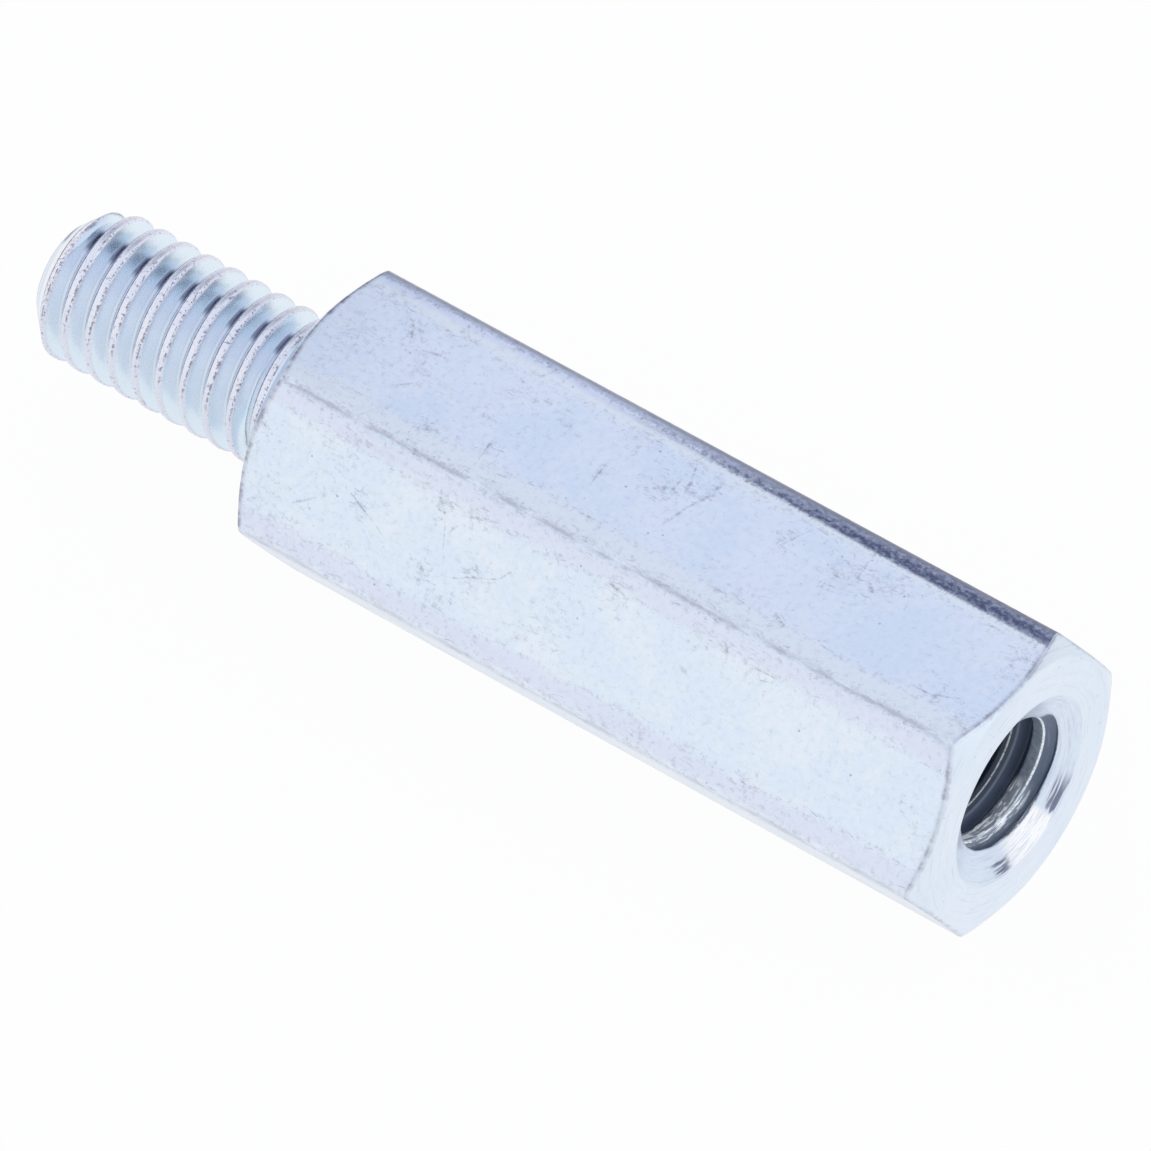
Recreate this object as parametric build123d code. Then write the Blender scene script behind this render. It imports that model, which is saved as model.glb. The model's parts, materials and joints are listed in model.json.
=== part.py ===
from build123d import *
import math
import os

os.makedirs("parts", exist_ok=True)

# Hex standoff, male to female, turned from one length of drawn hexagonal steel bar.
# X is the turning axis. The stud's shoulder is at X = 0, the stud points to -X and the
# tapped end to +X. It lies on one flat of the hexagon, so flats face +Z and -Z.

# Hexagonal body
across_flats = 7.0
body_length = 20.0
bar_corner_radius = 0.35

# Turned cones that take the hexagon's corners off, angles measured from the end faces
shoulder_land_diameter = 6.5
shoulder_cone_angle = 33.0
tapped_land_diameter = 6.9
tapped_cone_angle = 28.0
corner_overcut = 0.25

# Metric thread, the same at both ends
thread_diameter = 4.0
thread_pitch = 0.7

# Stud, a little under the nominal size as cut threads are
stud_allowance = 0.1
stud_length = 7.6
stud_tip_diameter = 2.6
stud_tip_angle = 45.0
tool_nose_radius = 0.15

# Blind hole, drilled past the last full thread to leave room for the tap's lead
tapped_depth = 10.0
tap_lead = 2.0
drill_point_angle = 118.0
countersink_diameter = 4.9
countersink_angle = 120.0

# Sizes that follow from those above
stud_diameter = thread_diameter - stud_allowance
tap_drill_diameter = thread_diameter - thread_pitch
drill_depth = tapped_depth + tap_lead


def slope(run, angle):
    """Distance along the axis of a cone that covers this run of radius."""
    return run * math.tan(math.radians(angle))


def cone_depth(radius, included_angle):
    """Depth of a cone with this radius at its mouth and this angle across its sides."""
    return radius / math.tan(math.radians(included_angle / 2))


def hexagonal_bar():
    """Drawn bar: a hexagon with rounded corners, flats facing +Z and -Z."""
    with BuildPart() as bar:
        with BuildSketch(Plane.YZ):
            RegularPolygon(across_flats / 2, 6, major_radius=False)
            fillet(vertices(), bar_corner_radius)
        extrude(amount=body_length)
    return bar.part


def turned_envelope():
    """Room that the lathe leaves the bar: clear of its corners, coned in at both ends."""
    corner_circle = across_flats / math.sqrt(3)
    outer = corner_circle + corner_overcut
    shoulder_land = shoulder_land_diameter / 2
    tapped_land = tapped_land_diameter / 2
    shoulder_cone = slope(outer - shoulder_land, shoulder_cone_angle)
    tapped_cone = slope(outer - tapped_land, tapped_cone_angle)
    outline = Polyline(
        (0, 0),
        (0, shoulder_land),
        (shoulder_cone, outer),
        (body_length - tapped_cone, outer),
        (body_length, tapped_land),
        (body_length, 0),
        close=True,
    )
    return revolve(make_face(outline), Axis.X)


def stud():
    """Stud with a coned tip, and the tool's nose radius where it meets the shoulder."""
    radius = stud_diameter / 2
    tip_radius = stud_tip_diameter / 2
    tip_cone = slope(radius - tip_radius, stud_tip_angle)
    shank_end = (-tool_nose_radius, radius)
    foot = (0, radius + tool_nose_radius)
    sunk_foot = (tool_nose_radius, radius + tool_nose_radius)
    outline = Polyline(
        shank_end,
        (tip_cone - stud_length, radius),
        (-stud_length, tip_radius),
        (-stud_length, 0),
        (tool_nose_radius, 0),
        sunk_foot,
        foot,
    )
    nose = RadiusArc(foot, shank_end, tool_nose_radius)
    return revolve(make_face(outline + nose), Axis.X)


def drilled_hole():
    """What drill and countersink take out: a cone, a straight wall and the drill's point."""
    radius = tap_drill_diameter / 2
    mouth_radius = countersink_diameter / 2
    wall_end = body_length - drill_depth
    wall_start = body_length - cone_depth(mouth_radius - radius, countersink_angle)
    point = wall_end - cone_depth(radius, drill_point_angle)
    outline = Polyline(
        (body_length, 0),
        (body_length, mouth_radius),
        (wall_start, radius),
        (wall_end, radius),
        (point, 0),
        close=True,
    )
    return revolve(make_face(outline), Axis.X)


def hex_standoff():
    """The whole part, one solid."""
    body = hexagonal_bar() & turned_envelope()
    return body + stud() - drilled_hole()


standoff = hex_standoff()
standoff.label = "hex_standoff"
export_step(standoff, "parts/hex_standoff.step")
print("hex_standoff", len(standoff.solids()), "solid", round(standoff.volume, 1), "mm3")
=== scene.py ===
import json
import math

import bpy
import numpy as np
from mathutils import Matrix, Vector


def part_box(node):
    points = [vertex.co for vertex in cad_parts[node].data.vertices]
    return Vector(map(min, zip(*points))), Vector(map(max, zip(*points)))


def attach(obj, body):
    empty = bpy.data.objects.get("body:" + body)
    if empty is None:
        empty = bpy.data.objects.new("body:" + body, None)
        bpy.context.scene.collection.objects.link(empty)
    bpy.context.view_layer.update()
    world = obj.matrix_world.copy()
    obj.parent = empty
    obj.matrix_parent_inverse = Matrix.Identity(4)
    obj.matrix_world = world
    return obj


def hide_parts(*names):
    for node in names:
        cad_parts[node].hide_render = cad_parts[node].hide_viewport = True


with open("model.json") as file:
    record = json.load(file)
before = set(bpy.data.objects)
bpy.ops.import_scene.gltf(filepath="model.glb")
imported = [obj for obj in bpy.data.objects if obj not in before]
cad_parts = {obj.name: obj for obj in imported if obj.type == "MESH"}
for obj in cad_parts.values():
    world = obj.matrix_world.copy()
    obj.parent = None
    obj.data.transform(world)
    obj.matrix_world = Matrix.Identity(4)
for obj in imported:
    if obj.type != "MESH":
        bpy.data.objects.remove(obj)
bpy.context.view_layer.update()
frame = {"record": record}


# Sizes of the standoff.
# The real one is turned and tapped from one length of drawn hexagonal steel bar. Its
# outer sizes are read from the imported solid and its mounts; all lengths are millimetres.

mm = 0.001
low_corner, high_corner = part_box("hex_standoff")
mounts = {mount["name"]: mount["dims"] for mount in frame["record"]["mounts"]}

half_flats = high_corner.z / mm
body_length = high_corner.x / mm
stud_length = -low_corner.x / mm
crest_radius = mounts["threaded_stud"]["r_mm"]
bore_radius = mounts["tapped_hole"]["r_mm"]

flat_half_angle = math.radians(30)
sharp_corner_radius = half_flats / math.cos(flat_half_angle)
corner_radius = (sharp_corner_radius - high_corner.y / mm) / (1 / math.cos(flat_half_angle) - 1)
corner_centre = sharp_corner_radius - corner_radius / math.cos(flat_half_angle)
flat_half_width = half_flats * math.tan(flat_half_angle) - corner_radius * math.tan(flat_half_angle)

# Columns of the skin: the angles about the axis at which every outline is drawn. They crowd
# at the six rounded corners of the bar and are even across its flats.

corner_columns = 6
flat_columns = 12
corner_end = flat_half_angle - math.atan(flat_half_width / half_flats)
flat_start = corner_end + math.radians(0.5)
corner_angles = np.linspace(-corner_end, corner_end, corner_columns)
flat_angles = np.linspace(flat_start, 2 * flat_half_angle - flat_start, flat_columns + 1)
sector = np.concatenate([corner_angles, flat_angles])
angles = (np.arange(6)[:, None] * 2 * flat_half_angle + sector).ravel()


def bar_radius(angle):
    """Distance from the axis to the drawn bar's side: half the flats over the cosine of the
    angle from the flat's middle, and near a corner the far cut of the corner's own circle."""
    from_flat = np.mod(angle, 2 * flat_half_angle) - flat_half_angle
    from_corner = flat_half_angle - np.abs(from_flat)
    side = half_flats / np.cos(from_flat)
    reach = corner_radius**2 - (corner_centre * np.sin(from_corner)) ** 2
    corner = corner_centre * np.cos(from_corner) + np.sqrt(np.maximum(reach, 0))
    return np.where(from_corner < corner_end, corner, side)


def eased(outline, reach, steps=4):
    """Outline with eased corners. An outline is (points, columns, 2) of x and radius. Each inner
    corner becomes a quadratic curve between the points this reach before and after it, and one
    more point stands twice as far off on each side, so that smooth shading turns only there."""
    before, corner, after = outline[:-2], outline[1:-1], outline[2:]
    reach = np.reshape(reach, (-1, 1, 1))
    back = before - corner
    ahead = after - corner
    back_length = np.maximum(np.linalg.norm(back, axis=-1, keepdims=True), 1e-9)
    ahead_length = np.maximum(np.linalg.norm(ahead, axis=-1, keepdims=True), 1e-9)
    start = corner + back * np.minimum(reach / back_length, 0.3)
    finish = corner + ahead * np.minimum(reach / ahead_length, 0.3)
    far_start = corner + back * np.minimum(2 * reach / back_length, 0.45)
    far_finish = corner + ahead * np.minimum(2 * reach / ahead_length, 0.45)
    t = np.linspace(0, 1, steps + 1)[None, :, None, None]
    curve = (1 - t) ** 2 * start[:, None] + 2 * t * (1 - t) * corner[:, None] + t**2 * finish[:, None]
    rows = np.concatenate([far_start[:, None], curve, far_finish[:, None]], axis=1)
    rows = rows.reshape(-1, outline.shape[1], 2)
    return np.concatenate([outline[:1], rows, outline[-1:]])


def ring(x, radius):
    """One row of an outline: the same place, or one place per column, at every angle."""
    return np.stack(np.broadcast_arrays(x, radius, angles), axis=-1)[..., :2]


def wave(distance, pitch):
    """Distance along the axis to the nearest crest of a thread, from minus half a pitch to half."""
    return np.mod(distance + pitch / 2, pitch) - pitch / 2


# Threads. Both are M4 by 0.7 with 60 degree flanks. The stud's is cut with a die that leaves a
# short run-out before the shoulder, and the hole's with a tap whose lead leaves shallow turns.

thread_pitch = 0.7
flank_slope = math.tan(math.radians(30))
crest_width = 0.17
thread_depth = 0.38
stud_crest_start = -0.325
runout_start = -1.2
runout_end = -0.75
nose_radius = 0.15
tip_radius = 1.3
tip_start_radius = 1.45

bore_crest_width = 0.3
bore_depth = 0.29
bore_crest_start = 0.41
countersink_radius = 2.45
countersink_slope = math.tan(math.radians(30))
bore_start_radius = 2.2
thread_length = 10.0
drilled_length = 12.0
plain_wall = 0.2
drill_half_angle = math.radians(59)
full_thread_end = body_length - thread_length
lead_end = body_length - (drilled_length - plain_wall)
wall_end = body_length - drilled_length
drill_point = wall_end - bore_radius / math.tan(drill_half_angle)


def thread_steps(width, depth, soft=0.022):
    """Places of one pitch's rows from the crest's middle: its flat, its two eased edges, the
    flanks and the rounded root, given as distances along the axis from low to high."""
    edge = width / 2
    foot = edge + depth * flank_slope
    root = (foot + thread_pitch / 2) / 2
    half = np.array([0, edge - 2 * soft, edge - soft, edge, edge + soft, edge + 2 * soft,
                     foot - 2 * soft, foot, root])
    return np.concatenate([half, thread_pitch - half[:0:-1]])


def groove_depth(distance, width, depth, soft=0.022):
    """Depth below the crest: nothing on the crest's flat, then a straight 60 degree flank, then
    the root, each change of slope spread over the easing so that the edges are rounded."""
    away = np.abs(distance) - width / 2
    flank = (away + np.sqrt(away**2 + soft**2)) / 2 / flank_slope
    root = depth
    gap = root - flank
    return root - (gap + np.sqrt(gap**2 + (soft * 2.5) ** 2)) / 2


def helix(first, last, steps, crest_start, radius_at):
    """Rows of a threaded length, as places (rows, columns, 2) and which of them are cut off at
    the low and high ends. A row climbs one pitch per turn, so after a turn it meets the row a
    pitch further on; radius_at gives the radius from the place along the axis and the distance
    from the nearest crest."""
    turns = math.ceil((last - first) / thread_pitch) + 2
    start = crest_start + math.floor((first - crest_start) / thread_pitch - 1) * thread_pitch
    along = (start + np.arange(turns + 1)[:, None] * thread_pitch + steps).ravel()
    x = along[:, None] + thread_pitch * angles / (2 * np.pi)
    distance = wave(along - crest_start, thread_pitch)[:, None] + 0 * x
    rows = np.stack([x, radius_at(x, distance)], axis=-1)
    return rows, x <= first + 1e-6, x >= last - 1e-6


def stud_radius(x, distance):
    """Crest radius less the groove, never below the run-out's rising floor, inside the tip's cone."""
    groove = groove_depth(distance, crest_width, thread_depth)
    fade = np.clip((runout_end - x) / (runout_end - runout_start), 0, 1)
    groove = np.minimum(groove, thread_depth * fade)
    cone = tip_radius + (x + stud_length)
    return np.minimum(crest_radius - groove, cone)


def hole_radius(x, distance):
    """Bore radius plus the groove, shallower along the tap's lead, outside the countersink's cone."""
    groove = groove_depth(distance, bore_crest_width, bore_depth)
    fade = np.clip((x - lead_end) / (full_thread_end - lead_end), 0, 1)
    groove = np.minimum(groove, bore_depth * fade)
    cone = countersink_radius - (body_length - x) / countersink_slope
    return np.maximum(bore_radius + groove, cone)


class Skin:
    """The places and triangles of the closed skin, gathered strip by strip."""

    def __init__(self):
        self.places = []
        self.triangles = []
        self.count = 0

    def add(self, rows):
        """Keeps the rows' places in space and returns their numbers, one per row and column."""
        x, radius = rows[..., 0], rows[..., 1]
        places = np.stack([x, radius * np.cos(angles), radius * np.sin(angles)], axis=-1)
        numbers = self.count + np.arange(x.size).reshape(x.shape)
        self.places.append(places.reshape(-1, 3))
        self.count += x.size
        return numbers

    def cover(self, numbers):
        """Two triangles between each pair of rows and of columns; those that have shrunk to a
        line, where a row is cut off, are left out."""
        a, b = numbers[:-1, :-1], numbers[:-1, 1:]
        c, d = numbers[1:, 1:], numbers[1:, :-1]
        triangles = np.concatenate([np.stack([a, b, c], -1), np.stack([a, c, d], -1)])
        triangles = triangles.reshape(-1, 3)
        p, q, r = triangles.T
        self.triangles.append(triangles[(p != q) & (q != r) & (r != p)])

    def closed(self, numbers):
        """Repeats the first column after the last, so that a strip goes all the way round."""
        return np.concatenate([numbers, numbers[:, :1]], axis=1)

    def pole(self, x, numbers):
        """Closes a strip's end with a point on the axis."""
        self.places.append(np.array([[x, 0.0, 0.0]]))
        self.count += 1
        return np.full_like(numbers, self.count - 1)


skin = Skin()


def threaded(first_numbers, last_numbers, first, last, steps, crest_start, radius_at, inward=False):
    """Covers a threaded length between two rings that are already in the skin. A hole's strip
    faces the axis, so its rows are taken the other way round."""
    rows, before, after = helix(first, last, steps, crest_start, radius_at)
    numbers = skin.add(rows)
    numbers = np.where(before, first_numbers, np.where(after, last_numbers, numbers))
    wrapped = np.concatenate([numbers[:-len(steps)], numbers[len(steps):, :1]], axis=1)
    skin.cover(wrapped[::-1] if inward else wrapped)


# The stud's tip: a flat face and a 45 degree cone.

tip_rim = ring(-stud_length, tip_radius)
tip_cone_end = ring(tip_start_radius - tip_radius - stud_length, tip_start_radius)
tip_outline = np.stack([ring(-stud_length, 0.6), tip_rim, tip_cone_end])
tip = skin.add(eased(tip_outline, 0.035))
skin.cover(skin.closed(np.concatenate([skin.pole(-stud_length, tip[:1]), tip])))

# The drawn bar between its turned cones, from the nose radius at the stud's root to the
# countersink's upper cone. The cones meet the flats in hyperbolas because the bar's radius
# changes with the angle.

shoulder_land = 3.25
tapped_land = 3.45
shoulder_cone_angle = 33
tapped_cone_angle = 28
shoulder_slope = math.tan(math.radians(shoulder_cone_angle))
tapped_slope = math.tan(math.radians(tapped_cone_angle))
bar = bar_radius(angles)

turn = np.linspace(0, np.pi / 2, 7)[:, None]
nose = ring(nose_radius * (np.sin(turn) - 1), crest_radius + nose_radius * (1 - np.cos(turn)))
countersink_end = body_length - (countersink_radius - bore_start_radius) * countersink_slope
outline = np.stack([
    nose[-1],
    ring(0, shoulder_land),
    ring((bar - shoulder_land) * shoulder_slope, bar),
    ring(body_length - (bar - tapped_land) * tapped_slope, bar),
    ring(body_length, tapped_land),
    ring(body_length, countersink_radius),
    ring(countersink_end, bore_start_radius),
])
sides = eased(outline, [0.05, 0.05, 0.04, 0.03, 0.03])
side_start = 1 + 2 * 7
along_side = np.linspace(0, 1, 22)[1:-1, None, None]
side_rows = sides[side_start - 1] + along_side * (sides[side_start] - sides[side_start - 1])
body = np.concatenate([nose[:-1], sides[:side_start], side_rows, sides[side_start:]])
body = skin.add(body)
skin.cover(skin.closed(body))

# The stud's thread, between the tip's cone and the nose radius.

stud_steps = thread_steps(crest_width, thread_depth)
thread_start, thread_end = tip_outline[-1, 0, 0], nose[0, 0, 0]
threaded(tip[-1], body[0], thread_start, thread_end, stud_steps, stud_crest_start, stud_radius)

# The tapped hole: its thread, the drill's plain wall and the drill's point.

wall = np.stack([ring(lead_end, bore_radius), ring(wall_end, bore_radius), ring(drill_point, 0.02)])
wall = skin.add(eased(wall, 0.04))
skin.cover(skin.closed(np.concatenate([wall, skin.pole(drill_point, wall[:1])])))
bore_steps = thread_steps(bore_crest_width, bore_depth)
threaded(wall[0], body[-1], lead_end, countersink_end, bore_steps, bore_crest_start, hole_radius,
         inward=True)


def mesh_object(name, places, triangles):
    """A mesh object of these triangles, smooth, without the places that none of them uses."""
    used, triangles = np.unique(triangles, return_inverse=True)
    triangles = triangles.reshape(-1, 3)
    mesh = bpy.data.meshes.new(name)
    mesh.vertices.add(len(used))
    mesh.vertices.foreach_set("co", (places[used] * mm).ravel())
    mesh.loops.add(triangles.size)
    mesh.loops.foreach_set("vertex_index", triangles.ravel())
    mesh.polygons.add(len(triangles))
    mesh.polygons.foreach_set("loop_start", np.arange(0, triangles.size, 3))
    mesh.polygons.foreach_set("loop_total", np.full(len(triangles), 3))
    mesh.polygons.foreach_set("use_smooth", np.ones(len(triangles), bool))
    mesh.update(calc_edges=True)
    mesh.validate()
    piece = bpy.data.objects.new(name, mesh)
    bpy.context.scene.collection.objects.link(piece)
    return piece


places, triangles = np.concatenate(skin.places), np.concatenate(skin.triangles)
standoff = mesh_object("zinc_plated_standoff", places, triangles)
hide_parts("hex_standoff")
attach(standoff, "root")


# Zinc plate. The real finish is bright zinc with a pale blue passivation over drawn and turned
# steel. It is satin on the flats, brighter on the threads, and scuffed where parts have rubbed.


class Socket:
    """A socket of a shader tree. Arithmetic on it adds Math nodes to the same tree."""

    def __init__(self, tree, plug=None):
        self.tree = tree
        self.plug = plug

    def node(self, kind, settings=None, values=None, out=0):
        """Adds a node: first its settings, then a value or a link for each of its sockets."""
        node = self.tree.nodes.new(kind)
        for name, value in (settings or {}).items():
            setattr(node, name, value)
        for name, value in (values or {}).items():
            if isinstance(value, Socket):
                self.tree.links.new(value.plug, node.inputs[name])
            else:
                node.inputs[name].default_value = value
        return Socket(self.tree, node.outputs[out]) if node.outputs else None

    def math(self, operation, *values):
        return self.node("ShaderNodeMath", {"operation": operation}, dict(enumerate(values)))

    def __add__(self, other):
        return self.math("ADD", self, other)

    def __radd__(self, other):
        return self.math("ADD", other, self)

    def __sub__(self, other):
        return self.math("SUBTRACT", self, other)

    def __rsub__(self, other):
        return self.math("SUBTRACT", other, self)

    def __mul__(self, other):
        return self.math("MULTIPLY", self, other)

    def __rmul__(self, other):
        return self.math("MULTIPLY", other, self)

    def __truediv__(self, other):
        return self.math("DIVIDE", self, other)

    def __rtruediv__(self, other):
        return self.math("DIVIDE", other, self)

    def __abs__(self):
        return self.math("ABSOLUTE", self)

    def step(self, start, finish):
        """Smooth step: 0 at start and 1 at finish, flat beyond both; start may be the higher."""
        if start > finish:
            return 1 - self.step(finish, start)
        values = {"Value": self, "From Min": start, "From Max": finish}
        return self.node("ShaderNodeMapRange", {"interpolation_type": "SMOOTHSTEP"}, values)

    def mixed(self, first, second):
        """Colour between two colours, by this factor."""
        values = {0: self, 6: first, 7: second}
        return self.node("ShaderNodeMix", {"data_type": "RGBA"}, values, out=2)

    def scaled(self, along_x, along_y, along_z, shift=0.0):
        """This place, stretched by a number along each axis and moved, for one layer of a pattern."""
        values = {0: self, 1: (along_x, along_y, along_z), 2: (shift, shift * 0.7, shift * 1.3)}
        return self.node("ShaderNodeVectorMath", {"operation": "MULTIPLY_ADD"}, values)

    def noise(self, scale, detail=2.0, roughness=0.5):
        """Cloudy noise from 0 to 1 at this place, with this many clouds per millimetre."""
        values = {"Vector": self, "Scale": scale, "Detail": detail, "Roughness": roughness}
        return self.node("ShaderNodeTexNoise", {"noise_dimensions": "3D"}, values)

    def grains(self, scale, size, share):
        """Round specks: the middles of scattered cells, of which only this share is kept."""
        cells = {"Vector": self, "Scale": scale}
        near = self.node("ShaderNodeTexVoronoi", {"feature": "F1"}, cells)
        tint = self.node("ShaderNodeTexVoronoi", {"feature": "F1"}, cells, out=1)
        pick = self.node("ShaderNodeSeparateColor", {}, {0: tint})
        return near.step(size, size * 0.4) * pick.step(1 - share, 1.001 - share)


def colour(red, green, blue):
    """A colour for a socket, from the 0 to 255 values that it shows on a screen."""
    shown = np.array([red, green, blue]) / 255
    linear = np.where(shown <= 0.04045, shown / 12.92, ((shown + 0.055) / 1.055) ** 2.4)
    return (*linear.tolist(), 1.0)


bright_zinc = colour(232, 240, 250)
blue_zinc = colour(225, 236, 250)
grey_reflection_tone = colour(236, 242, 247)
lilac_reflection_tone = colour(222, 228, 245)
rolled_reflection_tone = colour(216, 226, 244)
smudge = colour(172, 172, 190)
grime = colour(126, 122, 142)
edge_wear = colour(140, 136, 154)
corner_dark = colour(82, 90, 120)
corner_grey = colour(150, 156, 178)
corner_brown = colour(128, 126, 142)
flank_zinc = colour(226, 238, 248)
shaded_low_flank = colour(220, 234, 246)
pale_wear_and_highlight = colour(240, 240, 249)
shaded_crest_low = colour(228, 230, 242)
crest_worn = colour(122, 112, 132)
dark_thread_line = colour(92, 94, 126)
lit_bare_steel = colour(180, 190, 202)
shaded_dull_steel = colour(90, 103, 124)
glint = colour(240, 246, 248)
turned_zinc = colour(222, 233, 246)

zinc = bpy.data.materials.new("zinc_plate")
zinc.use_nodes = True
zinc.node_tree.nodes.clear()
plate = Socket(zinc.node_tree)
object_place = plate.node("ShaderNodeTexCoord", out=3)
place = plate.node("ShaderNodeVectorMath", {"operation": "SCALE"}, {0: object_place, "Scale": 1 / mm})
x, y, z = (plate.node("ShaderNodeSeparateXYZ", {}, {0: place}, out=axis) for axis in range(3))
radius = (y * y + z * z).math("SQRT", y * y + z * z)
angle = z.math("ARCTAN2", z, y)

# Where on the standoff a point lies: on which of the bar's six flats, how far from its nearest
# corner, from the edge of its flat at either end, and from the middle of a thread's crest.

sixth = angle / (2 * flat_half_angle)
flat_number = sixth.math("FLOOR", sixth)
from_middle = (sixth - flat_number - 0.5) * (2 * flat_half_angle)
across = radius * from_middle.math("SINE", from_middle)
half_side = half_flats * math.tan(flat_half_angle)
to_corner = half_side - abs(across)
inward = half_flats - radius * from_middle.math("COSINE", from_middle)
to_tapped_edge = (body_length - (radius - tapped_land) * tapped_slope) - x
to_shoulder_edge = x - (radius - shoulder_land) * shoulder_slope
to_end = to_tapped_edge.math("MINIMUM", to_tapped_edge, to_shoulder_edge)
on_bar = radius.step(half_flats - 0.12, half_flats - 0.06)
on_side = to_end.step(0.01, 0.04) * on_bar
on_stud = x.step(0.0, -0.02)
turned_end = x.step(body_length - 0.6, body_length - 0.4) * (1 - on_side)
countersink = countersink_radius - (body_length - x) / countersink_slope
past_countersink = (radius - countersink).step(0.01, 0.04)
inside_bar = radius.step(bore_start_radius + 0.1, bore_start_radius)
in_hole = past_countersink * inside_bar * x.step(1.0, 1.1)
flat_spacing = 9.0
sheet = plate.node("ShaderNodeCombineXYZ", {}, {0: x, 1: across, 2: flat_number * flat_spacing})
turns = angle * (thread_pitch / (2 * math.pi))


def from_crest(crest_start):
    """Distance along the axis from the nearest crest, worked out like the mesh's own rows."""
    cycle = (x - turns - crest_start) / thread_pitch + 0.5
    return (cycle.math("FRACT", cycle) - 0.5) * thread_pitch


stud_wave = from_crest(stud_crest_start)
bore_wave = from_crest(bore_crest_start)

# The plate's own tints: faintly blotchy blue and white. Beside the corners, where the drawn bar
# rolls off, greyer bands on the upper flat, lilac bands on the others and a rolled tone along
# one edge of each flat are painted reflections of that roll-off.

blotches = place.noise(0.5, 2.0)
fine_blotches = place.noise(4.0, 2.0)
tint = (blotches * 0.6 + fine_blotches * 0.4).step(0.4, 0.6).mixed(bright_zinc, blue_zinc)
wander = (place.scaled(0.6, 2, 2).noise(1.0, 2.0) - 0.5) * 0.5
# Painted reflections of the roll-off: grey beside the upper flat's corners, lilac on the others.
band = (to_corner + wander).step(0.85, 0.45) * on_side
before_corner = (across + 1.75).step(0.0, 0.2) * abs(sixth - 1.5).step(0.54, 0.5)
tint = (band * before_corner * 0.8).mixed(tint, grey_reflection_tone)
tint = (band * (1 - before_corner) * 0.8 * to_corner.step(0.1, 0.2)).mixed(tint, lilac_reflection_tone)
rolled_edge = across.step(-1.8, -1.9) * on_side
tint = (rolled_edge * 0.6).mixed(tint, rolled_reflection_tone)

# Scuffs. Each place is (along the bar, across its flat, number of the flat, size), where parts in
# the same bin have knocked this one; faint ones lie everywhere, and more beside the corners.

scuffed_places = [
    (9.8, -0.3, 1, 0.5), (10.6, -0.8, 1, 0.5), (10.0, -1.3, 1, 0.4), (13.0, 1.3, 1, 0.35),
    (14.3, 1.3, 1, 0.35), (14.8, -0.7, 1, 0.7), (15.7, -0.9, 1, 0.6), (13.0, -0.8, 1, 0.35),
    (18.6, 1.1, 1, 0.3), (19.5, 1.4, 1, 0.4), (5.7, 1.1, 1, 0.35), (4.2, 1.3, 1, 0.4),
    (8.3, 0.1, 1, 0.3), (8.5, -1.3, 1, 0.5), (2.2, -0.9, 1, 0.4), (1.3, -1.5, 1, 0.4),
    (5.5, -1.2, 2, 0.4), (6.4, -1.3, 2, 0.35), (5.4, 0.7, 2, 0.35), (6.8, 0.1, 2, 0.5),
    (2.8, -1.5, 2, 0.45), (6.0, 1.2, 2, 0.45), (10.4, -1.3, 2, 0.5), (12.8, -1.4, 2, 0.35),
    (13.5, -1.4, 2, 0.25), (12.0, 1.4, 2, 0.4), (3.4, -0.1, 2, 0.4), (14.5, -1.4, 2, 0.4),
    (15.0, 1.4, 2, 0.4), (7.0, 0.6, 0, 0.6), (13.0, -0.5, 3, 0.7), (4.0, 0.9, 4, 0.6),
    (16.0, 0.4, 5, 0.6), (9.0, -0.8, 4, 0.5), (11.0, 1.1, 5, 0.4), (2.5, -0.6, 3, 0.4),
    (19.5, -0.9, 1, 0.45), (19.5, -0.3, 1, 0.3), (19.5, -1.6, 1, 0.3),
]
clouds = sheet.node("ShaderNodeTexNoise", {}, {"Vector": sheet, "Scale": 1.6, "Detail": 1.0}, out=1)
warp_reach = 0.35
warp = {0: clouds, 1: (warp_reach, warp_reach, 0), 2: sheet}
warped = sheet.node("ShaderNodeVectorMath", {"operation": "MULTIPLY_ADD"}, warp)
soft_mottle = sheet.noise(3.5, 3.0, roughness=0.6)
wear = place.noise(0.7, 1.0).step(0.45, 0.75) * 0.45 + x.step(9.0, 4.0) * 0.15
nearest_scuff = None
for along, aside, flat, size in scuffed_places:
    middle = (along + warp_reach / 2, aside + warp_reach / 2, flat * flat_spacing)
    away = warped.node("ShaderNodeVectorMath", {"operation": "DISTANCE"}, {0: warped, 1: middle}, out=1)
    away = away * (1 / size)
    nearest_scuff = away.math("MINIMUM", away, nearest_scuff) if nearest_scuff else away
scuffed = (nearest_scuff + (soft_mottle - 0.5) * 4.0).step(1.8, 0.0) * 0.85
wear = wear.math("MAXIMUM", wear, scuffed)
near_corner = to_corner.step(0.5, 0.1) * 0.6
beside_band = abs(to_corner + wander - 0.66).step(0.25, 0.0) * 0.55
wear = wear.math("MAXIMUM", wear, near_corner.math("MAXIMUM", near_corner, beside_band)) * on_side


def strokes(direction, long, wide, shift):
    """Noise drawn out along one direction of the bar's flats, for short scratches."""
    turned = {
        "Vector": warped,
        "Location": (shift, shift * 0.6, 0),
        "Rotation": (0, 0, math.radians(direction)),
        "Scale": (1 / long, 1 / wide, 1.0),
    }
    drawn_out = plate.node("ShaderNodeMapping", {"vector_type": "POINT"}, turned)
    return drawn_out.noise(1.0, 2.0, roughness=0.6)


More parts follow.
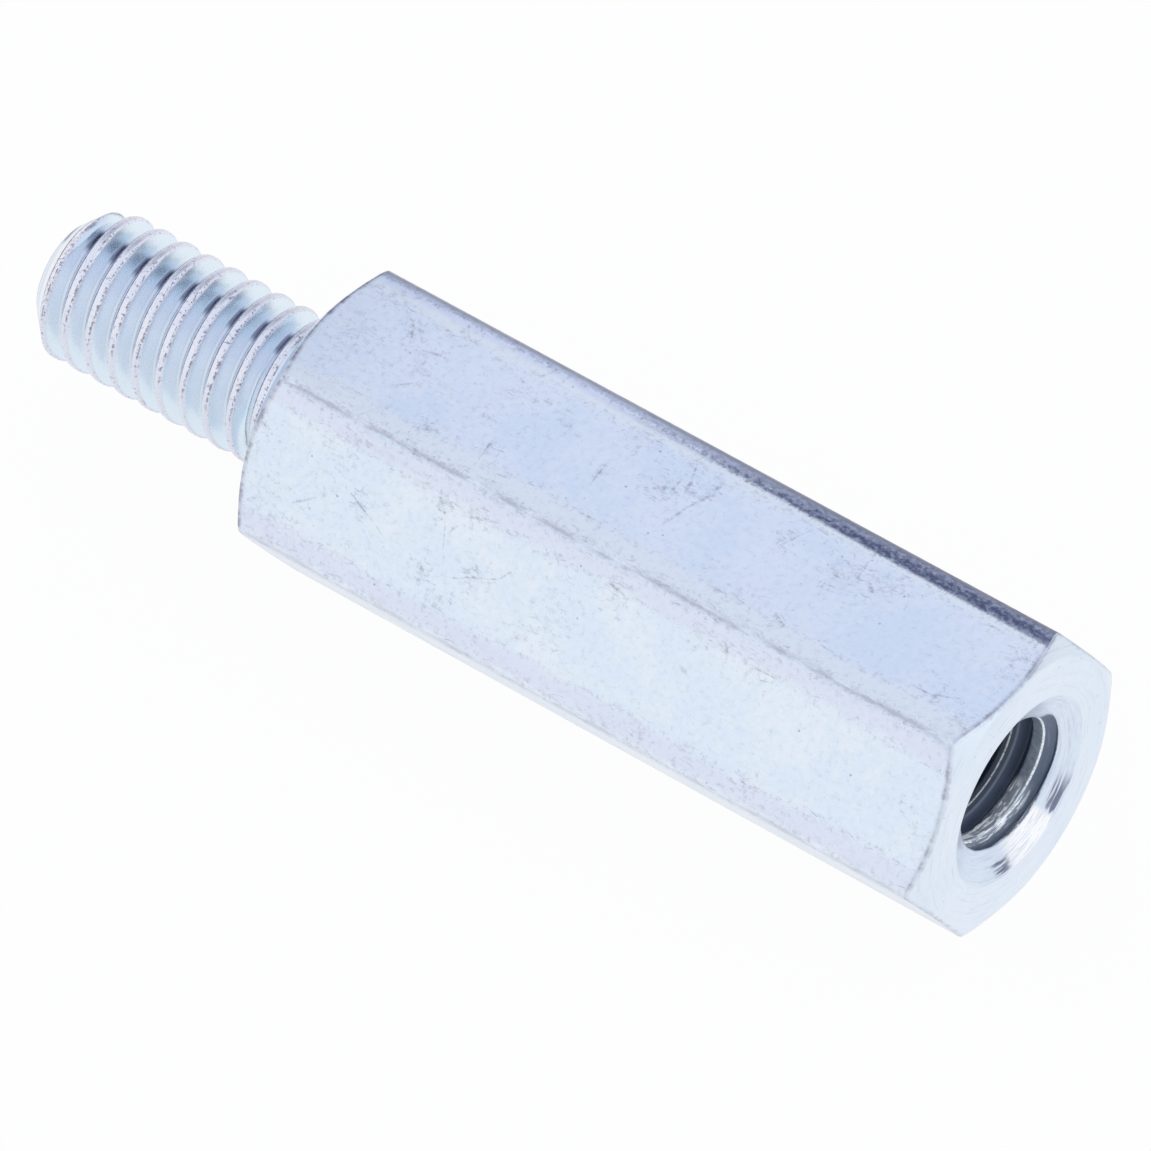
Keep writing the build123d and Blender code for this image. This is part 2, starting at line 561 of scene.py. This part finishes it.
mottle = sheet.noise(6.0, 4.0, roughness=0.8)
scrapes = strokes(direction=82, long=0.5, wide=0.07, shift=3.0)
slanted_scrapes = strokes(direction=35, long=0.45, wide=0.06, shift=11.0)
scrapes = scrapes.math("MAXIMUM", scrapes, slanted_scrapes)
soft_smudges = (soft_mottle + wear * 0.2).step(0.58, 0.85) * 0.35
sharp_smudges = (mottle + wear * 0.17).step(0.6, 0.74) * 0.6
smudged = soft_smudges + sharp_smudges + mottle.step(0.46, 0.7) * 0.4
marks = (scrapes + wear * 0.1).step(0.67, 0.8) * wear.step(0.05, 0.5)

# Single scratches: each is (start along, start across, end along, end across, number of the flat,
# half of its width), drawn as a thin ellipse.

single_scratches = [
    (1.87, -1.16, 2.13, -0.89, 1, 0.04), (2.13, -0.89, 2.28, -0.58, 1, 0.04),
    (2.37, -0.27, 2.5, -0.25, 1, 0.05), (2.64, -0.5, 3.32, -0.62, 1, 0.03),
    (2.83, 0.67, 3.1, 0.4, 1, 0.03), (3.09, -1.74, 3.22, -1.53, 1, 0.035),
    (4.1, 1.27, 4.32, 1.33, 1, 0.06), (4.94, 1.12, 5.06, 1.15, 1, 0.04),
    (5.74, 1.37, 5.67, 0.68, 1, 0.025), (8.33, 0.53, 8.24, -0.16, 1, 0.03),
    (9.61, -0.24, 9.88, -0.39, 1, 0.06), (9.99, -0.39, 9.96, -0.78, 1, 0.04),
    (10.43, 0.5, 10.56, -0.13, 1, 0.045), (10.56, -0.13, 10.79, -0.7, 1, 0.045),
    (10.27, -0.52, 10.01, -1.32, 1, 0.04), (10.83, -0.8, 10.77, -1.26, 1, 0.06),
    (12.99, -0.43, 13.3, -1.23, 1, 0.03), (14.59, 0.2, 14.49, -0.24, 1, 0.035),
    (15.05, -0.63, 14.94, -1.17, 1, 0.025), (15.31, -0.74, 15.56, -0.55, 1, 0.06),
    (14.19, 1.27, 14.52, 1.4, 1, 0.05), (17.92, 1.12, 18.67, 1.15, 1, 0.03),
    (18.5, 1.1, 19.1, 0.8, 1, 0.03), (8.65, 1.34, 9.19, 1.3, 1, 0.035),
    (5.42, -1.46, 5.59, -1.76, 1, 0.035),
    (1.73, 0.67, 2.23, 0.32, 2, 0.035), (3.1, -0.25, 3.71, 0.03, 2, 0.025),
    (3.71, 0.03, 4.21, 0.31, 2, 0.02), (5.67, -0.75, 5.84, -0.11, 2, 0.025),
    (5.88, -0.61, 6.01, -0.83, 2, 0.04), (6.17, -1.17, 7.01, -1.41, 2, 0.04),
    (5.33, 0.46, 5.46, 0.6, 2, 0.055), (5.48, 0.73, 5.59, 0.81, 2, 0.04),
    (6.21, 0.41, 7.44, -0.17, 2, 0.025), (7.44, -0.17, 7.67, -0.45, 2, 0.025),
    (5.39, -1.25, 5.72, -1.21, 2, 0.06), (10.23, -1.41, 10.5, -1.37, 2, 0.05),
    (12.55, -0.41, 12.69, -0.35, 2, 0.05), (13.48, -1.48, 13.59, -1.24, 2, 0.055),
    (14.29, -1.34, 14.97, -1.33, 2, 0.035), (4.0, 0.6, 4.6, 0.1, 0, 0.04),
    (3.1, -0.4, 3.3, 0.4, 5, 0.05), (6.6, -1.1, 7.1, -0.9, 3, 0.05), (15.6, 0.4, 16.2, 0.1, 4, 0.04),
]
wobble_reach = 0.1
wobble = {0: clouds, 1: (wobble_reach, wobble_reach, 0), 2: sheet}
wobbled = sheet.node("ShaderNodeVectorMath", {"operation": "MULTIPLY_ADD"}, wobble)
nearest_scratch = None
for first_along, first_aside, last_along, last_aside, flat, half_width in single_scratches:
    run_along = last_along - first_along
    run_aside = last_aside - first_aside
    middle = Vector((first_along + run_along / 2, first_aside + run_aside / 2, flat * flat_spacing))
    turned_to_run = {
        "Vector": wobbled,
        "Location": middle + Vector((wobble_reach / 2, wobble_reach / 2, 0)),
        "Rotation": (0, 0, math.atan2(run_aside, run_along)),
        "Scale": (math.hypot(run_along, run_aside) / 2 + half_width, half_width, 1.0),
    }
    from_middle_of_run = plate.node("ShaderNodeMapping", {"vector_type": "TEXTURE"}, turned_to_run)
    away = plate.node("ShaderNodeVectorMath", {"operation": "LENGTH"}, {0: from_middle_of_run}, out=1)
    nearest_scratch = away.math("MINIMUM", away, nearest_scratch) if nearest_scratch else away
scratched = nearest_scratch.step(1.4, 0.4) * (0.15 + mottle.step(0.4, 0.62) * 0.7)
marks = marks.math("MAXIMUM", marks * 0.8, scratched)
marks = marks * on_side
specks = place.grains(3.2, 0.13, 0.1)
tint = (smudged * 0.42 * on_side).mixed(tint, smudge)
tint = (marks * 0.5).mixed(tint, grime)
tint = (specks * 0.55).mixed(tint, grime)

# Worn edges: a broken grey line along each corner, partly wear and partly a painted dark reflection,
# and a fuller one round the ends of the flats. Beside the upper flat's corner a dark band is partly
# rubbed wear and partly a painted dark reflection, more so toward the tapped end.

broken = place.scaled(0.5, 2, 2, 3.0).noise(1.8, 3.0, roughness=0.6)
# Painted dark reflection mixed with wear, along each corner.
corner_wear_and_reflection = (to_corner + (mottle - 0.5) * 0.45).step(0.13, 0.02) * broken.step(0.42, 0.58) * on_side
by_middle_corner = abs(sixth - 2).step(0.5, 0.45)
tint = (corner_wear_and_reflection * (0.22 + 0.25 * by_middle_corner)).mixed(tint, edge_wear)
off_edge = abs(to_end) + inward.math("MAXIMUM", inward, 0.0) * 1.5
end_line = (off_edge + (mottle - 0.5) * 0.32).step(0.15, 0.02) * on_bar
tint = (end_line * (0.3 + broken.step(0.4, 0.6) * 0.5)).mixed(tint, edge_wear)

# Beside the upper flat's corner: the rubbed band and the darker band inside it are partly rubbed wear
# and partly painted dark reflection; the brown line along the outer edge is painted dark reflection.
by_upper_corner = abs(sixth - 1).step(0.5, 0.45) * on_side
blurred = (mottle - 0.5) * 0.5
rubbed_width = 0.22 + 0.26 * x.step(5.0, 17.0)
rubbed = (rubbed_width + blurred - to_corner).step(-0.06, 0.06)
dark_band_middle = 0.35 - 0.03 * x.step(13.0, 19.0)
dark_reflection_band = abs(to_corner + blurred - dark_band_middle) - 0.07 * x.step(10.0, 18.0)
dark_reflection_band = dark_reflection_band.step(0.13, 0.0) * x.step(6.0, 13.0)
outer_reflection_line = to_corner.step(0.16, 0.04)
fine_mottle = sheet.scaled(0.7, 1, 1).noise(9.0, 3.0, roughness=0.65)
rubbed_reflection_colour = (fine_mottle.step(0.62, 0.38) * 0.8).mixed(corner_grey, corner_dark)
tint = (rubbed * by_upper_corner * (0.35 + 0.5 * x.step(6.0, 15.0))).mixed(tint, rubbed_reflection_colour)
short_of_edge = 0.5 + 0.5 * to_tapped_edge.step(0.05, 0.45)
dark_reflection_band = dark_reflection_band * (0.35 + fine_mottle.step(0.65, 0.4) * 0.65) * short_of_edge
tint = (dark_reflection_band * by_upper_corner * 0.9).mixed(tint, corner_dark)
tint = (outer_reflection_line * by_upper_corner * (0.2 + fine_mottle * 0.8)).mixed(tint, corner_brown)

# The stud's crests are pale, partly worn and partly a painted highlight, between two thin dark lines,
# with dark specks along one edge, and are worn brown and grey where they face the back. The front of
# each back flank is painted light; the dark lines and specks carry painted shade and reflections.

crest_specks = place.noise(12.0, 3.0, roughness=0.7)
topmost = z.step(0.6, 1.5)
backward = y.step(0.2, 0.5)
near_tip = (x + stud_length).step(0.9, 0.5)
# Painted shade: the stud's flanks, and its crests below, are coloured darker low down than on top.
tint = on_stud.mixed(tint, topmost.mixed(shaded_low_flank, flank_zinc))
on_thread = on_stud * radius.step(tip_radius - 0.05, tip_radius - 0.01)
crest_band = (abs(stud_wave - 0.015) - 0.05 * near_tip).step(0.115, 0.085) * on_thread
# Painted light: the front of each back flank is painted pale.
lit_back_flank = abs(stud_wave + 0.23).step(0.13, 0.11) * y.step(-0.1, -0.5) * on_thread
tint = (lit_back_flank * 0.9).mixed(tint, pale_wear_and_highlight)
# The crest band: pale wear with a painted highlight.
tint = (crest_band * 0.9).mixed(tint, topmost.mixed(shaded_crest_low, pale_wear_and_highlight))
# Painted dark reflection: a thin dark line along each crest's back edge, strongest on top.
foot_reflection_line = abs(stud_wave + 0.092).step(0.034, 0.014) * topmost
foot_reflection_line = foot_reflection_line * (0.6 + 0.4 * crest_specks.step(0.4, 0.5))
# Dark line in the root: faint dirt all round, with painted shade near the top.
at_top = y.step(-0.35, -0.1) * y.step(0.6, 0.3)
root_dirt_and_shade = abs(abs(stud_wave) - 0.33).step(0.06, 0.02) * (0.12 + 0.7 * at_top)
tint = (foot_reflection_line.math("MAXIMUM", foot_reflection_line, root_dirt_and_shade) * on_thread).mixed(tint, dark_thread_line)
# Dark specks along the crest's front edge: partly wear and partly a painted dark reflection, fading
# lower down.
ragged_place = 0.09 - 0.04 * (1 - topmost)
ragged_wear_and_reflection = abs(stud_wave - ragged_place + (crest_specks - 0.5) * 0.1).step(0.035, 0.012)
ragged_wear_and_reflection = ragged_wear_and_reflection * (crest_specks + z.step(1.9, 1.2) * 0.06).step(0.5, 0.58) * z.step(0.3, 0.8)
tint = (ragged_wear_and_reflection * on_thread * (1 - backward) * 0.75).mixed(tint, crest_worn)
tint = (crest_band * (crest_specks + near_tip * 0.08).step(0.58, 0.66) * 0.6).mixed(tint, crest_worn)
top_line = abs(stud_wave - 0.01).step(0.085, 0.03) * backward * on_thread
tint = (top_line * (0.08 + 0.35 * crest_specks)).mixed(tint, crest_worn)
tip_line = (x + stud_length).step(0.05, 0.02) * on_thread
tint = (tip_line * 0.8).mixed(tint, dark_thread_line)

# Inside the hole the flanks are dull steel, painted dark as shade. The first crest is bare and
# mottled and painted lighter than the next as light, with a thin painted highlight along its edge and
# painted highlight streaks low down; the next one only has the line. The lines and streaks also glow
# a little, a painted glow, as the plain light here doesn't reach them.

steel_blotches = place.noise(7.0, 3.0, roughness=0.7)
# Painted shade: the hole's dull steel is darker than the plate.
tint = in_hole.mixed(tint, shaded_dull_steel)
first_turn = (x - turns).step(18.9, 19.0)
bore_crest = abs(bore_wave).step(bore_crest_width / 2 + 0.03, bore_crest_width / 2) * in_hole
# Painted light: the first turn's crest is lighter than the deeper one.
bared_and_lit = 0.2 + first_turn * (0.2 + steel_blotches.step(0.25, 0.75) * 0.6)
tint = (bore_crest * bared_and_lit).mixed(tint, lit_bare_steel)
line_place = first_turn * (bore_crest_width / 2)
# Painted highlight along the crest's edge, and painted highlight streaks low down.
highlight_line = abs(bore_wave - line_place).step(0.03, 0.01) * in_hole
along_thread = plate.node("ShaderNodeCombineXYZ", {}, {0: x - turns, 1: radius, 2: angle * 0.25})
streaks = along_thread.noise(15.0, 3.0, roughness=0.65).step(0.5, 0.58)
low_side = angle.step(-0.75, -1.1) * first_turn
lit = abs(bore_wave + 0.03).step(0.34, 0.2) * low_side * in_hole
tint = (lit * 0.5).mixed(tint, lit_bare_steel)
highlight_line = highlight_line * (0.4 + crest_specks.step(0.35, 0.55) * 0.6) * (1 - low_side * 0.6)
glints = highlight_line.math("MAXIMUM", highlight_line, lit * streaks)
tint = glints.mixed(tint, glint)

# Turning marks: rings round the axis on both end faces, the tapped end's cone and the
# countersink, with two dark patches where the countersink chattered and a painted white highlight
# between.

ring_place = plate.node("ShaderNodeCombineXYZ", {}, {0: radius, 1: x, 2: angle * 0.15})
rings = ring_place.noise(14.0, 3.0, roughness=0.7)
tint = (turned_end * (1 - in_hole) * 0.5).mixed(tint, turned_zinc)
within_rim = radius.step(countersink_radius + 0.02, countersink_radius - 0.03)
in_countersink = within_rim * turned_end * (1 - in_hole)
turned_faces = turned_end + on_stud - on_thread
tint = (turned_faces * rings.step(0.5, 0.72) * 0.28).mixed(tint, smudge)
arcs = ring_place.scaled(1, 0.3, 0.8, 5.0).noise(11.0, 3.0, roughness=0.65)
ragged_angle = angle + (arcs - 0.5) * 0.3
first_chatter = ragged_angle.step(-1.03, -0.98) * ragged_angle.step(-0.5, -0.8)
second_chatter = ragged_angle.step(-2.05, -1.9) * ragged_angle.step(-1.68, -1.74)
on_cone = radius.step(2.02, 2.14) * radius.step(2.47, 2.43) * in_countersink
chattered = (first_chatter + second_chatter) * on_cone
fine_rings = ring_place.scaled(1, 1, 1, 9.0).noise(22.0, 2.0, roughness=0.7)
tint = (chattered * 0.15).mixed(tint, smudge)
tint = (chattered * arcs.step(0.47, 0.55) * 0.85).mixed(tint, corner_dark)
# Painted highlight: white on the countersink between the two dark patches.
countersink_highlight = angle.step(-1.02, -1.1) * angle.step(-1.85, -1.6) * in_countersink
tint = (countersink_highlight * (0.4 + fine_rings.step(0.64, 0.5) * 0.6)).mixed(tint, (1, 1, 1, 1))
tint = (in_countersink * fine_rings.step(0.5, 0.62) * 0.2).mixed(tint, smudge)

roughness = 0.3 + (blotches - 0.5) * 0.1 + smudged * 0.12 + marks * 0.1
roughness = roughness - on_stud * 0.05 + rubbed * by_upper_corner * 0.1 + in_hole * 0.1
metallic = 1 - in_hole * 0.8 - in_countersink * 0.5 - crest_band * 0.5
drawn = place.scaled(0.35, 9, 9).noise(2.2, 2.0)
height = drawn * on_side * 0.5 + rings * turned_end * 1.2
bump = plate.node("ShaderNodeBump", {}, {"Strength": 0.25, "Distance": 0.00001, "Height": height})

bsdf = plate.node("ShaderNodeBsdfPrincipled", {}, {
    "Base Color": tint,
    "Metallic": metallic,
    "Roughness": roughness,
    "Normal": bump,
    # Painted glow on the hole's highlight lines and streaks.
    "Emission Color": glints.mixed((0, 0, 0, 1), glint),
    "Emission Strength": 0.2,
})
plate.node("ShaderNodeOutputMaterial", {}, {0: bsdf})
standoff.data.materials.append(zinc)


# Floor and white surroundings. The standoff lies on a plain pale sheet that goes on past the
# picture. The room round it is white to the camera, and to the plate's reflections it turns
# faintly blue high at the back.

floor_height = low_corner.z
bpy.ops.mesh.primitive_plane_add(size=2.0, location=(0, 0, floor_height))
floor = bpy.context.object
floor.name = "pale_sheet"
sheet_finish = bpy.data.materials.new("pale_sheet")
sheet_finish.use_nodes = True
sheet_finish.node_tree.nodes.clear()
floor_tree = Socket(sheet_finish.node_tree)
matt = floor_tree.node("ShaderNodeBsdfDiffuse", {}, {"Color": (0.93, 0.93, 0.93, 1)})
glow = floor_tree.node("ShaderNodeEmission", {}, {"Color": (1, 1, 1, 1), "Strength": 1.0})
seen = floor_tree.node("ShaderNodeLightPath", {}, {}, out=0)
mirrored = floor_tree.node("ShaderNodeLightPath", {}, {}, out=3)
through = floor_tree.node("ShaderNodeLightPath", {}, {}, out=6)
camera_glow = 0.95
share = floor_tree.math("MAXIMUM", floor_tree.math("MAXIMUM", seen * camera_glow, mirrored), through)
surface = floor_tree.node("ShaderNodeMixShader", {}, {0: share, 1: matt, 2: glow})
floor_tree.node("ShaderNodeOutputMaterial", {}, {0: surface})
floor.data.materials.append(sheet_finish)

world = bpy.data.worlds.new("white_room")
bpy.context.scene.world = world
world.use_nodes = True
world.node_tree.nodes.clear()
room = Socket(world.node_tree)
toward = room.node("ShaderNodeTexCoord", out=0)
back_and_up = (0, 0.5, 0.87)
high_at_back = room.node("ShaderNodeVectorMath", {"operation": "DOT_PRODUCT"},
                         {0: toward, 1: back_and_up}, out=1)
pale_room = (0.96, 0.98, 1.0, 1)
blue_room = (0.785, 0.824, 0.936, 1)
sky = high_at_back.step(0.05, 0.9).mixed(pale_room, blue_room)
seen = room.node("ShaderNodeLightPath", {}, {}, out=0)
white = room.node("ShaderNodeBackground", {}, {"Color": seen.mixed(sky, (1, 1, 1, 1)), "Strength": 1.0})
room.node("ShaderNodeOutputWorld", {}, {0: white})

# A dark card that lies and stands behind the standoff, a small one over its stud, and a soft
# lamp off its tapped end. Only the plate's reflections show the cards.

card_floor = floor_height / mm + 0.05
card_top = card_floor + 16
card_places = [
    (9, 17, card_floor), (17, 17, card_floor), (30, 24, card_floor), (60, 40, card_floor),
    (258, 130, card_floor), (258, 150, card_floor), (113, 150, card_floor), (258, 150, card_top),
    (113, 150, card_top), (-20, 6.5, 13.5), (-7.5, 6.5, 13.5), (-4, 12, 8), (-16, 12, 8),
]
card_faces = [(0, 1, 2, 3, 4, 5, 6), (6, 5, 7, 8), (9, 10, 11, 12)]
card_mesh = bpy.data.meshes.new("dark_card")
card_mesh.from_pydata([(a * mm, b * mm, c * mm) for a, b, c in card_places], [], card_faces)
card = bpy.data.objects.new("dark_card", card_mesh)
bpy.context.scene.collection.objects.link(card)
card_finish = bpy.data.materials.new("dark_card")
card_finish.use_nodes = True
card_sockets = card_finish.node_tree.nodes["Principled BSDF"].inputs
card_sockets["Base Color"].default_value = (0.17, 0.22, 0.30, 1)
card_sockets["Roughness"].default_value = 1.0
card_mesh.materials.append(card_finish)
card.visible_camera = False
card.visible_diffuse = False
card.visible_shadow = False

lamp_data = bpy.data.lights.new("soft_lamp", "AREA")
lamp_data.shape = "RECTANGLE"
lamp_data.size = 0.08
lamp_data.size_y = 0.06
lamp_data.energy = 0.02
lamp = bpy.data.objects.new("soft_lamp", lamp_data)
lamp.location = (0.27, 0.08, 0.06)
lamp_aim = Vector((0.01, 0, 0))
lamp.rotation_euler = (lamp_aim - lamp.location).to_track_quat("-Z", "Y").to_euler()
bpy.context.scene.collection.objects.link(lamp)


# Camera, where the photograph was taken from: about 0.37 m away and 50 degrees up, with the
# standoff's own size setting the distance.

camera_place = Vector((161.440, -181.982, 281.706)) * mm
camera_aim = Vector((7.784, -0.652, 0.0)) * mm
camera_roll = math.radians(-4.2285)
camera_data = bpy.data.cameras.new("camera")
camera_data.lens = 499.15
camera_data.sensor_width = 36.0
camera = bpy.data.objects.new("camera", camera_data)
bpy.context.scene.collection.objects.link(camera)
turned = (camera_aim - camera_place).to_track_quat("-Z", "Y").to_matrix().to_4x4()
camera.matrix_world = Matrix.Translation(camera_place) @ turned @ Matrix.Rotation(camera_roll, 4, "Z")
bpy.context.scene.camera = camera
bpy.context.scene.view_settings.view_transform = "Standard"
